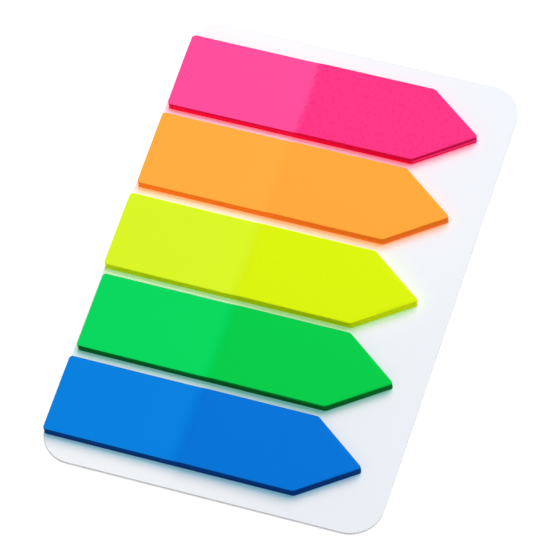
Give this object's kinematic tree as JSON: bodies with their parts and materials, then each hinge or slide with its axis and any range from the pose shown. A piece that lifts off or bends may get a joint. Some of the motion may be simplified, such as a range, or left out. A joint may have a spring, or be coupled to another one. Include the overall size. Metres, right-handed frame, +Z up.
{
  "type": "sticky index tabs",
  "caption": "Pads of arrow-shaped sticky film index tabs in bright colours, side by side on a clear plastic carrier card with round corners.",
  "frame": {"origin": "centre of the carrier card's underside", "axes": "+X along the tabs from their square ends to their arrow tips, +Y up the card from the blue pad to the pink one, +Z up out of the card through the pads"},
  "size_m": [0.0498, 0.0736, 0.0018],
  "materials": {
    "clear_card": "clear, slightly milky polyester film, semi-gloss",
    "pink_film": "fluorescent pink film, satin",
    "orange_film": "fluorescent orange film, satin",
    "yellow_film": "fluorescent yellow film, satin",
    "green_film": "fluorescent green film, satin",
    "blue_film": "bright blue film, satin"
  },
  "bodies": {
    "root": {"carrier_card": "clear_card", "pink_tab_pad": "pink_film", "orange_tab_pad": "orange_film", "yellow_tab_pad": "yellow_film", "green_tab_pad": "green_film", "blue_tab_pad": "blue_film"}
  },
  "joints": []
}
